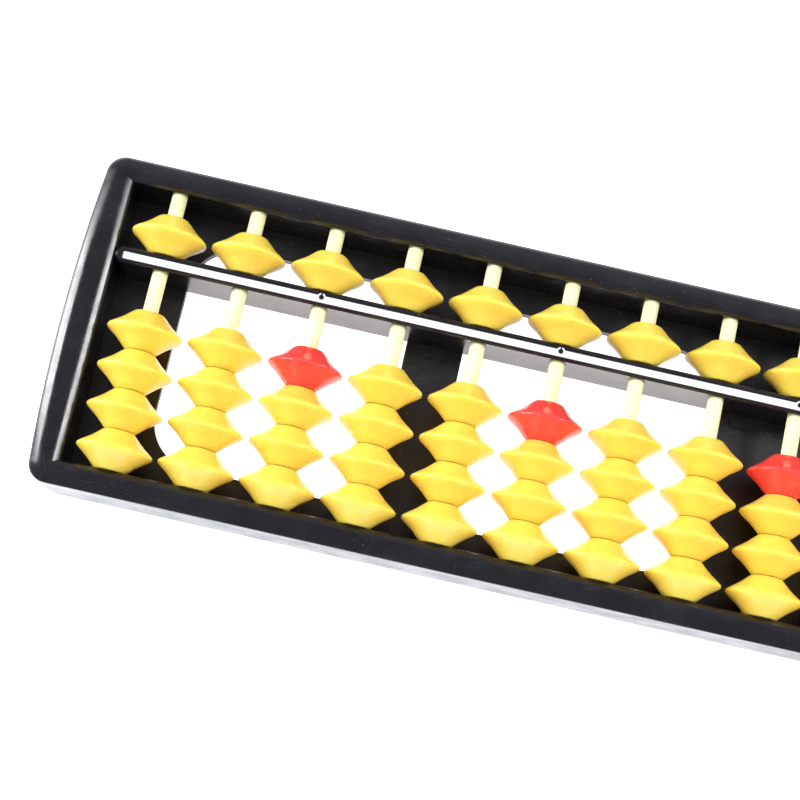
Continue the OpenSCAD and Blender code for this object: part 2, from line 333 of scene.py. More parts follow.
class Graph:
    """A node tree with short calls for the nodes used here."""

    def __init__(self, tree: bpy.types.NodeTree) -> None:
        """Keep the tree that nodes are added to."""
        self.tree = tree

    def add(self, kind: str, **settings: object) -> bpy.types.Node:
        """Add a node.

        Args:
            kind: Blender's name for the node type.
            settings: attributes set on the node.

        Returns:
            The node.
        """
        node = self.tree.nodes.new(kind)
        for key, value in settings.items():
            setattr(node, key, value)
        return node

    def link(self, source: bpy.types.NodeSocket, target: bpy.types.NodeSocket) -> None:
        """Join an output to an input."""
        self.tree.links.new(source, target)

    def math(self, operation: str, a: object, b: object = 0.0, clamp: bool = False) -> bpy.types.NodeSocket:
        """Add a Math node.

        Args:
            operation: its operation.
            a: first socket or number.
            b: second socket or number.
            clamp: True to keep the result between 0 and 1.

        Returns:
            The result's socket.
        """
        node = self.add("ShaderNodeMath", operation=operation, use_clamp=clamp)
        for socket, value in zip(node.inputs, (a, b)):
            if isinstance(value, bpy.types.NodeSocket):
                self.link(value, socket)
            else:
                socket.default_value = value
        return node.outputs[0]

    def noise(
        self, where: bpy.types.NodeSocket, scale: object, detail: float = 3.0, rough: float = 0.55
    ) -> bpy.types.NodeSocket:
        """Add a noise texture.

        Args:
            where: the coordinates' socket.
            scale: its scale, a socket or a number.
            detail: how many finer layers it has.
            rough: how strong the finer layers are.

        Returns:
            The socket of its value.
        """
        node = self.add("ShaderNodeTexNoise")
        self.link(where, node.inputs["Vector"])
        if isinstance(scale, bpy.types.NodeSocket):
            self.link(scale, node.inputs["Scale"])
        else:
            node.inputs["Scale"].default_value = scale
        node.inputs["Detail"].default_value = detail
        node.inputs["Roughness"].default_value = rough
        return node.outputs["Fac"]

    def join(self, x: object, y: object, z: object) -> bpy.types.NodeSocket:
        """Join three numbers or sockets into a vector.

        Args:
            x: its first part.
            y: its second part.
            z: its third part.

        Returns:
            The vector's socket.
        """
        node = self.add("ShaderNodeCombineXYZ")
        for socket, value in zip(node.inputs, (x, y, z)):
            if isinstance(value, bpy.types.NodeSocket):
                self.link(value, socket)
            else:
                socket.default_value = value
        return node.outputs[0]

    def stretch(
        self, where: bpy.types.NodeSocket, scale: object, turn: object = (0.0, 0.0, 0.0)
    ) -> bpy.types.NodeSocket:
        """Turn coordinates, then stretch them along the turned axes.

        Args:
            where: the coordinates' socket.
            scale: factors along X, Y and Z, as numbers or a socket.
            turn: angles about X, Y and Z in radians, as numbers or a socket.

        Returns:
            The socket of the new coordinates.
        """
        spin = self.add("ShaderNodeVectorRotate", rotation_type="EULER_XYZ")
        self.link(where, spin.inputs["Vector"])
        grow = self.add("ShaderNodeVectorMath", operation="MULTIPLY")
        self.link(spin.outputs["Vector"], grow.inputs[0])
        for socket, value in ((spin.inputs["Rotation"], turn), (grow.inputs[1], scale)):
            if isinstance(value, bpy.types.NodeSocket):
                self.link(value, socket)
            else:
                socket.default_value = value
        return grow.outputs["Vector"]

    def ramp(self, value: bpy.types.NodeSocket, low: float, high: float) -> bpy.types.NodeSocket:
        """Map a value so that low becomes 0 and high becomes 1, smoothly.

        Args:
            value: the socket to map.
            low: the value that gives 0.
            high: the value that gives 1.

        Returns:
            The mapped socket.
        """
        node = self.add("ShaderNodeMapRange", interpolation_type="SMOOTHSTEP")
        self.link(value, node.inputs["Value"])
        node.inputs["From Min"].default_value = low
        node.inputs["From Max"].default_value = high
        return node.outputs["Result"]

    def mix(self, share: object, a: object, b: object) -> bpy.types.NodeSocket:
        """Mix two colours.

        Args:
            share: how much of b there is, a socket or a number.
            a: first colour or socket.
            b: second colour or socket.

        Returns:
            The colour's socket.
        """
        node = self.add("ShaderNodeMix", data_type="RGBA")
        for socket, value in ((node.inputs[0], share), (node.inputs[6], a), (node.inputs[7], b)):
            if isinstance(value, bpy.types.NodeSocket):
                self.link(value, socket)
            elif isinstance(value, tuple):
                socket.default_value = (*value, 1.0)
            else:
                socket.default_value = value
        return node.outputs[2]


class SharedEffects:
    """Shader groups that several finishes use, each built once."""

    def __init__(self) -> None:
        """Start with no group built."""
        self.built: dict[str, bpy.types.NodeTree] = {}

    def start(
        self, name: str, inputs: dict[str, float], outputs: list[str]
    ) -> tuple[Graph, dict[str, bpy.types.NodeSocket], bpy.types.Node]:
        """Open a new group.

        Args:
            name: the group's name.
            inputs: its number inputs with their defaults.
            outputs: its number outputs.

        Returns:
            The graph, the input sockets by name, and the output node.
        """
        tree = bpy.data.node_groups.new(name, "ShaderNodeTree")
        for label, value in inputs.items():
            socket = tree.interface.new_socket(label, in_out="INPUT", socket_type="NodeSocketFloat")
            socket.default_value = value
        for label in outputs:
            tree.interface.new_socket(label, in_out="OUTPUT", socket_type="NodeSocketFloat")
        graph = Graph(tree)
        entry = graph.add("NodeGroupInput")
        leave = graph.add("NodeGroupOutput")
        self.built[name] = tree
        return graph, {label: entry.outputs[label] for label in inputs}, leave

    def moulded_skin(self) -> bpy.types.NodeTree:
        """Uneven skin of moulded plastic: slow ripples, cloudy patches and a fine grain."""
        if "moulded skin" in self.built:
            return self.built["moulded skin"]
        graph, given, leave = self.start(
            "moulded skin",
            {"Ripple Scale": 60.0, "Grain Scale": 1500.0, "Grain Share": 0.3},
            ["Clouds", "Grain", "Height"],
        )
        where = graph.add("ShaderNodeTexCoord").outputs["Object"]
        ripple = graph.noise(where, given["Ripple Scale"], 2.0, 0.45)
        clouds = graph.noise(where, graph.math("MULTIPLY", given["Ripple Scale"], 3.1), 4.0, 0.6)
        grain = graph.noise(where, given["Grain Scale"], 2.0, 0.6)
        height = graph.math("ADD", ripple, graph.math("MULTIPLY", grain, given["Grain Share"]))
        graph.link(graph.ramp(clouds, 0.34, 0.68), leave.inputs["Clouds"])
        graph.link(graph.ramp(grain, 0.35, 0.65), leave.inputs["Grain"])
        graph.link(height, leave.inputs["Height"])
        return self.built["moulded skin"]

    def hairline_rubs(self) -> bpy.types.NodeTree:
        """Hairline scratches that mostly run one way, gathered in patches."""
        if "hairline rubs" in self.built:
            return self.built["hairline rubs"]
        graph, given, leave = self.start(
            "hairline rubs",
            {
                "Line Length": 0.008, "Line Width": 0.00016, "Turn": 0.0,
                "Patch Scale": 90.0, "Amount": 0.5,
            },
            ["Mask"],
        )
        where = graph.add("ShaderNodeTexCoord").outputs["Object"]
        along = graph.math("DIVIDE", 1.0, given["Line Length"])
        across = graph.math("DIVIDE", 1.0, given["Line Width"])
        size = graph.join(along, across, across)
        lines = []
        for lean in (0.0, 9.0, -21.0):
            turn = graph.math("ADD", given["Turn"], lean)
            run = graph.stretch(where, size, graph.join(0.0, 0.0, graph.math("RADIANS", turn)))
            lines.append(graph.ramp(graph.noise(run, 1.0, 1.0, 0.4), 0.69, 0.74))
        both = graph.math("MAXIMUM", graph.math("MAXIMUM", lines[0], lines[1]), lines[2])
        patch = graph.ramp(graph.noise(where, given["Patch Scale"], 2.0, 0.5), 0.44, 0.64)
        mask = graph.math("MULTIPLY", graph.math("MULTIPLY", both, patch), given["Amount"], clamp=True)
        graph.link(mask, leave.inputs["Mask"])
        return self.built["hairline rubs"]

    def settled_dust(self) -> bpy.types.NodeTree:
        """Small pale specks, only on faces that look up."""
        if "settled dust" in self.built:
            return self.built["settled dust"]
        graph, given, leave = self.start(
            "settled dust", {"Speck Scale": 420.0, "Amount": 0.5}, ["Mask"]
        )
        where = graph.add("ShaderNodeTexCoord").outputs["Object"]
        cells = graph.add("ShaderNodeTexVoronoi", feature="F1")
        graph.link(where, cells.inputs["Vector"])
        graph.link(given["Speck Scale"], cells.inputs["Scale"])
        specks = graph.ramp(graph.math("SUBTRACT", 1.0, cells.outputs["Distance"]), 0.86, 0.93)
        patch = graph.ramp(graph.noise(where, 130.0, 3.0, 0.6), 0.50, 0.66)
        facing = graph.add("ShaderNodeSeparateXYZ")
        graph.link(graph.add("ShaderNodeNewGeometry").outputs["Normal"], facing.inputs[0])
        up = graph.ramp(facing.outputs["Z"], 0.35, 0.9)
        mask = graph.math("MULTIPLY", graph.math("MULTIPLY", specks, patch), up)
        graph.link(graph.math("MULTIPLY", mask, given["Amount"], clamp=True), leave.inputs["Mask"])
        return self.built["settled dust"]

    def drawn_lines(self) -> bpy.types.NodeTree:
        """Fine lines along Y, as on plastic that was drawn through a die or rubbed by beads."""
        if "drawn lines" in self.built:
            return self.built["drawn lines"]
        graph, given, leave = self.start(
            "drawn lines", {"Line Scale": 2600.0, "Contrast": 1.0}, ["Lines"]
        )
        where = graph.add("ShaderNodeTexCoord").outputs["Object"]
        run = graph.stretch(where, (1.0, 0.02, 1.0))
        lines = graph.noise(run, given["Line Scale"], 2.0, 0.5)
        strength = graph.math("MULTIPLY", graph.ramp(lines, 0.3, 0.7), given["Contrast"])
        graph.link(strength, leave.inputs["Lines"])
        return self.built["drawn lines"]


EFFECTS = SharedEffects()


class Surface:
    """One material while it is put together."""

    def __init__(self, name: str) -> None:
        """Make an empty material with its shader."""
        self.material = bpy.data.materials.new(name)
        self.material.use_nodes = True
        tree = self.material.node_tree
        tree.nodes.clear()
        self.graph = Graph(tree)
        self.shader = self.graph.add("ShaderNodeBsdfPrincipled")
        out = self.graph.add("ShaderNodeOutputMaterial")
        self.graph.link(self.shader.outputs["BSDF"], out.inputs["Surface"])

    def effect(self, tree: bpy.types.NodeTree, **values: float) -> bpy.types.Node:
        """Place a shared group.

        Args:
            tree: the group.
            values: its inputs, with underscores for spaces.

        Returns:
            The group's node.
        """
        node = self.graph.add("ShaderNodeGroup", node_tree=tree)
        for label, value in values.items():
            node.inputs[label.replace("_", " ")].default_value = value
        return node

    def set(self, **values: float) -> None:
        """Set plain numbers on the shader, with underscores for spaces."""
        for label, value in values.items():
            self.shader.inputs[label.replace("_", " ")].default_value = value

    def feed(self, label: str, source: bpy.types.NodeSocket) -> None:
        """Join a socket to one of the shader's inputs."""
        self.graph.link(source, self.shader.inputs[label])

    def bump(self, height: bpy.types.NodeSocket, depth: float, strength: float) -> None:
        """Bend the shader's normal by a height.

        Args:
            height: the height's socket, about 0 to 1.
            depth: what a height of 1 stands for, in metres.
            strength: how much of the bend is used.
        """
        node = self.graph.add("ShaderNodeBump")
        node.inputs["Distance"].default_value = depth
        node.inputs["Strength"].default_value = strength
        self.graph.link(height, node.inputs["Height"])
        self.feed("Normal", node.outputs["Normal"])


@dataclass(frozen=True)
class BlackPlastic:
    """Black moulded plastic with hairlines and a little dust."""

    name: str
    dark: Colour = (0.0025, 0.0025, 0.0045)
    light: Colour = (0.0060, 0.0060, 0.0090)
    rubbed: Colour = (0.08, 0.08, 0.10)
    dust: Colour = (0.40, 0.39, 0.42)
    roughness: float = 0.15
    roughness_swing: float = 0.05
    rubs: float = 0.5
    line_length: float = 0.008
    line_width: float = 0.00016
    specks: float = 0.3
    grain_scale: float = 1500.0
    grain_share: float = 0.25
    relief: float = 0.00003
    relief_strength: float = 0.25
    grain_tint: float = 0.3
    rub_tint: float = 0.5
    rub_rough: float = 0.2
    dust_rough: float = 0.5
    ends_from: float = 1.0

    def hairlines(self, surface: Surface) -> bpy.types.NodeSocket:
        """Hairlines along X, and along Y on the end rails.

        Args:
            surface: the material they go into.

        Returns:
            Their mask.
        """
        graph = surface.graph
        masks = []
        for turn in (0.0, 90.0):
            effect = surface.effect(
                EFFECTS.hairline_rubs(), Line_Length=self.line_length, Line_Width=self.line_width,
                Turn=turn, Patch_Scale=90.0, Amount=self.rubs,
            )
            masks.append(effect.outputs["Mask"])
        parts = graph.add("ShaderNodeSeparateXYZ")
        graph.link(graph.add("ShaderNodeTexCoord").outputs["Object"], parts.inputs[0])
        reach = graph.math("ABSOLUTE", parts.outputs["X"])
        at_end = graph.ramp(reach, self.ends_from, self.ends_from + 0.002)
        long_way = graph.math("MULTIPLY", masks[0], graph.math("SUBTRACT", 1.0, at_end))
        return graph.math("ADD", long_way, graph.math("MULTIPLY", masks[1], at_end), clamp=True)

    def make(self) -> bpy.types.Material:
        """Build the material.

        Returns:
            The material.
        """
        surface = Surface(self.name)
        graph = surface.graph
        skin = surface.effect(
            EFFECTS.moulded_skin(), Ripple_Scale=60.0, Grain_Scale=self.grain_scale,
            Grain_Share=self.grain_share,
        )
        rubs = self.hairlines(surface)
        dust = surface.effect(EFFECTS.settled_dust(), Speck_Scale=900.0, Amount=self.specks)
        body = graph.mix(skin.outputs["Clouds"], self.dark, self.light)
        body = graph.mix(graph.math("MULTIPLY", skin.outputs["Grain"], self.grain_tint), body, self.dark)
        marked = graph.mix(graph.math("MULTIPLY", rubs, self.rub_tint), body, self.rubbed)
        surface.feed("Base Color", graph.mix(dust.outputs["Mask"], marked, self.dust))
        rough = graph.math("MULTIPLY", skin.outputs["Clouds"], self.roughness_swing)
        rough = graph.math("ADD", rough, self.roughness)
        rough = graph.math("ADD", rough, graph.math("MULTIPLY", rubs, self.rub_rough))
        settled = graph.math("MULTIPLY", dust.outputs["Mask"], self.dust_rough)
        rough = graph.math("ADD", rough, settled, clamp=True)
        surface.feed("Roughness", rough)
        surface.set(IOR=1.5)
        surface.bump(skin.outputs["Height"], self.relief, self.relief_strength)
        return surface.material


@dataclass(frozen=True)
class BeadPlastic:
    """Glossy bead plastic that lets a little light through."""

    name: str
    body: Colour
    cloud: Colour
    glow: Colour
    roughness: float = 0.24
    swing_share: float = 0.25
    rub_tint: float = 0.3
    rub_rough: float = 0.2
    scatter: float = 0.65
    depth: float = 0.0035
    relief: float = 0.00002
    relief_strength: float = 0.25

    def make(self) -> bpy.types.Material:
        """Build the material.

        Returns:
            The material.
        """
        surface = Surface(self.name)
        graph = surface.graph
        skin = surface.effect(
            EFFECTS.moulded_skin(), Ripple_Scale=95.0, Grain_Scale=2200.0, Grain_Share=0.12
        )
        rubs = surface.effect(
            EFFECTS.hairline_rubs(), Line_Length=0.003, Line_Width=0.00012, Turn=35.0,
            Patch_Scale=200.0, Amount=0.35,
        )
        lines = surface.effect(EFFECTS.drawn_lines(), Line_Scale=900.0, Contrast=0.25)
        body = graph.mix(skin.outputs["Clouds"], self.body, self.cloud)
        marks = graph.math("MULTIPLY", rubs.outputs["Mask"], self.rub_tint)
        surface.feed("Base Color", graph.mix(marks, body, self.glow))
        swing = self.roughness * self.swing_share
        rough = graph.math("ADD", graph.math("MULTIPLY", skin.outputs["Clouds"], swing), self.roughness)
        rough = graph.math("ADD", rough, graph.math("MULTIPLY", rubs.outputs["Mask"], self.rub_rough))
        rough = graph.math("ADD", rough, graph.math("MULTIPLY", lines.outputs["Lines"], swing), clamp=True)
        surface.feed("Roughness", rough)
        surface.set(IOR=1.49, Subsurface_Weight=self.scatter, Subsurface_Scale=self.depth)
        surface.shader.inputs["Subsurface Radius"].default_value = self.glow
        surface.bump(skin.outputs["Height"], self.relief, self.relief_strength)
        return surface.material


@dataclass(frozen=True)
class PalePlastic:
    """White or cream plastic, satin, with faint drawn lines and a tone that wanders."""

    name: str
    clean: Colour
    toned: Colour
    roughness: float = 0.35
    cloud_share: float = 0.8
    line_share: float = 0.2
    line_rough: float = 0.12
    grain_rough: float = 0.05
    scatter: float = 0.1

    def make(self) -> bpy.types.Material:
        """Build the material.

        Returns:
            The material.
        """
        surface = Surface(self.name)
        graph = surface.graph
        skin = surface.effect(
            EFFECTS.moulded_skin(), Ripple_Scale=80.0, Grain_Scale=1800.0, Grain_Share=0.2
        )
        lines = surface.effect(EFFECTS.drawn_lines(), Line_Scale=2600.0, Contrast=1.0)
        tone = graph.math("MULTIPLY", skin.outputs["Clouds"], self.cloud_share)
        drawn = graph.math("MULTIPLY", lines.outputs["Lines"], self.line_share)
        tone = graph.math("ADD", tone, drawn, clamp=True)
        surface.feed("Base Color", graph.mix(tone, self.clean, self.toned))
        rough = graph.math("MULTIPLY", lines.outputs["Lines"], self.line_rough)
        rough = graph.math("ADD", rough, self.roughness)
        grain = graph.math("MULTIPLY", skin.outputs["Grain"], self.grain_rough)
        surface.feed("Roughness", graph.math("ADD", rough, grain))
        surface.set(IOR=1.49, Subsurface_Weight=self.scatter, Subsurface_Scale=0.001)
        surface.bump(lines.outputs["Lines"], 0.00001, 0.3)
        return surface.material


@dataclass(frozen=True)
class ScrewSteel:
    """Plain steel with turning marks and dull patches."""

    name: str
    bright: Colour = (0.56, 0.57, 0.59)
    dull: Colour = (0.33, 0.33, 0.35)

    def make(self) -> bpy.types.Material:
        """Build the material.

        Returns:
            The material.
        """
        surface = Surface(self.name)
        graph = surface.graph
        skin = surface.effect(
            EFFECTS.moulded_skin(), Ripple_Scale=400.0, Grain_Scale=4000.0, Grain_Share=0.5
        )
        rubs = surface.effect(
            EFFECTS.hairline_rubs(), Line_Length=0.001, Line_Width=0.00006, Turn=20.0,
            Patch_Scale=600.0, Amount=1.0,
        )
        tone = graph.mix(skin.outputs["Clouds"], self.bright, self.dull)
        surface.feed("Base Color", graph.mix(rubs.outputs["Mask"], tone, (0.75, 0.75, 0.77)))
        rough = graph.math("ADD", graph.math("MULTIPLY", skin.outputs["Clouds"], 0.2), 0.28)
        surface.feed("Roughness", rough)
        surface.set(Metallic=1.0)
        surface.bump(skin.outputs["Height"], 0.00002, 0.3)
        return surface.material


class Finishes:
    """Every finish of the abacus, made once."""

    def __init__(self, ends_from: float) -> None:
        """Make the materials.

        Args:
            ends_from: distance of the end rails' inner walls from the middle, in metres.
        """
        self.frame = BlackPlastic(
            "gloss black frame", roughness_swing=0.10, rubs=0.35, specks=0.12, ends_from=ends_from
        ).make()
        self.plate = BlackPlastic(
            "textured black plate", dark=(0.006, 0.006, 0.007), light=(0.012, 0.012, 0.013),
            roughness=0.30, roughness_swing=0.16, rubs=1.0, specks=0.5, grain_scale=2600.0,
            grain_share=0.7, relief=0.00005, relief_strength=0.5,
        ).make()
        self.bar = BlackPlastic(
            "gloss black bar", roughness=0.16, roughness_swing=0.08, rubs=0.3, specks=0.2
        ).make()
        self.strip = PalePlastic(
            "white strip", clean=(0.84, 0.85, 0.89), toned=(0.78, 0.79, 0.83)
        ).make()
        self.rod = PalePlastic(
            "cream rod", clean=(0.86, 0.87, 0.52), toned=(0.80, 0.81, 0.45), scatter=0.2
        ).make()
        self.beads = {
            Tint.YELLOW: BeadPlastic(
                "yellow bead", body=(0.92, 0.665, 0.100), cloud=(0.91, 0.63, 0.084),
                glow=(1.0, 0.62, 0.20),
            ).make(),
            Tint.RED: BeadPlastic(
                "red bead", body=(0.90, 0.068, 0.056), cloud=(0.86, 0.055, 0.046),
                glow=(1.0, 0.20, 0.15), roughness=0.06, scatter=0.30,
            ).make(),
        }
        self.screw = ScrewSteel("plain steel screw").make()


def dress(shape: bpy.types.Object, material: bpy.types.Material) -> None:
    """Give an object one material.

    Args:
        shape: the object.
        material: its finish.
    """
    shape.data.materials.clear()
    shape.data.materials.append(material)
    for face in shape.data.polygons:
        face.material_index = 0


# ---------- sub-assemblies ----------


@dataclass
class FrameShell:
    """The four rails: rounded outer edge, gently crowned top, mitred slopes round the opening."""

    layout: Layout
    bow: float = 1.5
    corner_r: float = 3.5
    turn_r: float = 0.35
    crown_r: float = 3.68
    end_slope: float = 2.6
    rail_slope: float = 1.5
    slope_h: float = 1.0
    lip_r: float = 0.08
    foot_r: float = 0.15
    rebate: float = 1.2
    slot_r: float = 1.55
    slot_depth: float = 1.6
    slot_start: float = 0.5
    turn_steps: int = 5
    crown_steps: int = 14
    slope_steps: int = 16
    long_steps: int = 68
    corner_steps: int = 12
    bow_steps: int = 40

    def turn(self) -> tuple[float, float, float, float]:
        """Places that shape the corners.

        Returns:
            Bow radius, X of the bow's centre, X of the corner centre, and the angle of
            the join between bow and corner in degrees.
        """
        d = self.layout.half_depth
        radius = (d * d + self.bow * self.bow) / (2 * self.bow)
        bow_x = self.layout.half_length - radius
        cy = d - self.corner_r
        reach = radius - self.corner_r
        cx = bow_x + math.sqrt(reach * reach - cy * cy)
        return radius, bow_x, cx, math.degrees(math.atan2(cy, cx - bow_x))

    def outline(self, inset: float) -> list[Flat]:
        """The frame's outline, moved inwards.

        Args:
            inset: how far inwards.

        Returns:
            Points anticlockwise from the back rail's right end.
        """
        radius, bow_x, cx, turn = self.turn()
        cy = self.layout.half_depth - self.corner_r
        y = self.layout.half_depth - inset
        r = self.corner_r - inset
        long_way = [cx - 2 * cx * k / self.long_steps for k in range(self.long_steps)]
        out: list[Flat] = [(x, y) for x in long_way]
        out += arc((-cx, cy), r, 90.0, 180.0 - turn, self.corner_steps)
        out += arc((-bow_x, 0.0), radius - inset, 180.0 - turn, 180.0 + turn, self.bow_steps)
        out += arc((-cx, -cy), r, 180.0 + turn, 270.0, self.corner_steps)
        out += [(-x, -y) for x in long_way]
        out += arc((cx, -cy), r, 270.0, 360.0 - turn, self.corner_steps)
        out += arc((bow_x, 0.0), radius - inset, -turn, turn, self.bow_steps)
        out += arc((cx, cy), r, turn, 90.0, self.corner_steps)
        return out

    def opening(self, grow: float) -> list[Flat]:
        """The opening's edge, point for point beside the outline.

        Args:
            grow: share of the slopes' width that it is grown by.

        Returns:
            Points in the same order as outline().
        """
        x = self.layout.inner_x + self.end_slope * grow
        y = self.layout.inner_y + self.rail_slope * grow
        long_way = [x - 2 * x * k / self.long_steps for k in range(self.long_steps)]
        side = [y - 2 * y * k / self.bow_steps for k in range(self.bow_steps)]
        out: list[Flat] = [(a, y) for a in long_way]
        out += [(-x, y)] * self.corner_steps
        out += [(-x, b) for b in side]
        out += [(-x, -y)] * self.corner_steps
        out += [(-a, -y) for a in long_way]
        out += [(x, -y)] * self.corner_steps
        out += [(x, -b) for b in side]
        out += [(x, y)] * self.corner_steps
        return out

    def edge_profile(self) -> list[Flat]:
        """Outer edge of a rail: a short turn out of the wall, then a wide arc onto the top.

        Returns:
            (inset from the outline, fall below the top) pairs, from the wall inwards.
        """
        e, r = self.turn_r, self.crown_r
        half = math.radians(45.0)
        wide_fall = r * (1.0 - math.sin(half))
        reach = e * (1.0 - math.cos(half))
        out: list[Flat] = []
        for k in range(self.turn_steps + 1):
            angle = half * k / self.turn_steps
            out.append((e * (1.0 - math.cos(angle)), wide_fall + e * (math.sin(half) - math.sin(angle))))
        for k in range(1, self.crown_steps + 1):
            angle = half + half * k / self.crown_steps
            out.append((reach + r * (math.cos(half) - math.cos(angle)), r * (1.0 - math.sin(angle))))
        return out

    def top_rings(self) -> list[list[Point]]:
        """Rings from the outer wall over the top to the start of the slopes."""
        rim = self.layout.rim_z
        rings = [lift(self.outline(inset), rim - fall) for inset, fall in self.edge_profile()]
        start, stop = self.outline(self.edge_profile()[-1][0]), self.opening(1.0)
        for share in (0.5, 1.0):
            rings.append([
                (a[0] + (b[0] - a[0]) * share, a[1] + (b[1] - a[1]) * share, rim)
                for a, b in zip(start, stop)
            ])
        return rings

    def slope_rings(self) -> list[list[Point]]:
        """Rings down the mitred, rounded slopes to the inner walls."""
        rim, width, height = self.layout.rim_z, self.end_slope, self.slope_h
        radius = (width * width + height * height) / (2.0 * height)
        rings = []
        for k in range(1, self.slope_steps + 1):
            grow = 1.0 - k / self.slope_steps
            along = width * (1.0 - grow)
            fall = radius - math.sqrt(radius * radius - along * along)
            if k == self.slope_steps:
                rings.append(lift(self.opening(self.lip_r / width), rim - height + self.lip_r * 0.4))
                rings.append(lift(self.opening(0.0), rim - height - self.lip_r))
            else:
                rings.append(lift(self.opening(grow), rim - fall))
        return rings

    def build(self) -> bpy.types.Object:
        """Build the rails.

        Returns:
            The object, cut for the rod ends.
        """
        rings = [
            lift(self.outline(self.foot_r), 0.0),
            lift(self.outline(self.foot_r * 0.3), self.foot_r * 0.3),
            lift(self.outline(0.0), self.foot_r),
            lift(self.outline(0.0), self.layout.rim_z * 0.5),
        ]
        rings += self.top_rings() + self.slope_rings()
        rings += [
            lift(self.opening(0.0), self.layout.rim_z * 0.5),
            lift(self.opening(0.0), self.layout.plate_z),
            lift(self.outline(self.rebate), self.layout.plate_z),
            lift(self.outline(self.rebate), 0.0),
        ]
        draft = MeshDraft()
        draft.sweep(rings, closed=True)
        shell = draft.to_object("frame_shell")
        carve(shell, self.slot_tool())
        even_out(shell)
        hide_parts("frame")
        return shell

    def slot_tool(self) -> bpy.types.Object:
        """The shape that cuts every rod's slots into both long walls."""
        draft = MeshDraft()
        reach = self.layout.inner_y + self.slot_depth
        low = self.layout.plate_z - self.slot_start
        for x in self.layout.rods:
            section = [(x + self.slot_r, low)]
            section += arc((x, self.layout.rod_z), self.slot_r, 0.0, 180.0, 24)
            section += [(x - self.slot_r, self.layout.rod_z), (x - self.slot_r, low)]
            rings = draft.sweep([[(a, y, z) for a, z in section] for y in (-reach, reach)])
            draft.faces.append(tuple(rings[0]))
            draft.faces.append(tuple(reversed(rings[1])))
        return draft.to_object("slot_tool")

    def dress(self, shell: bpy.types.Object, finishes: Finishes) -> None:
        """Finish the rails and set them on the frame body."""
        dress(shell, finishes.frame)
        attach(shell, "frame")


@dataclass
class BasePlate:
    """The windowed plate under the beads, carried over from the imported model."""

    layout: Layout

    def build(self) -> bpy.types.Object:
        """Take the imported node.

        Returns:
            The plate.
        """
        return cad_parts["base_plate"]

    def dress(self, plate: bpy.types.Object, finishes: Finishes) -> None:
        """Finish the plate."""
        dress(plate, finishes.plate)


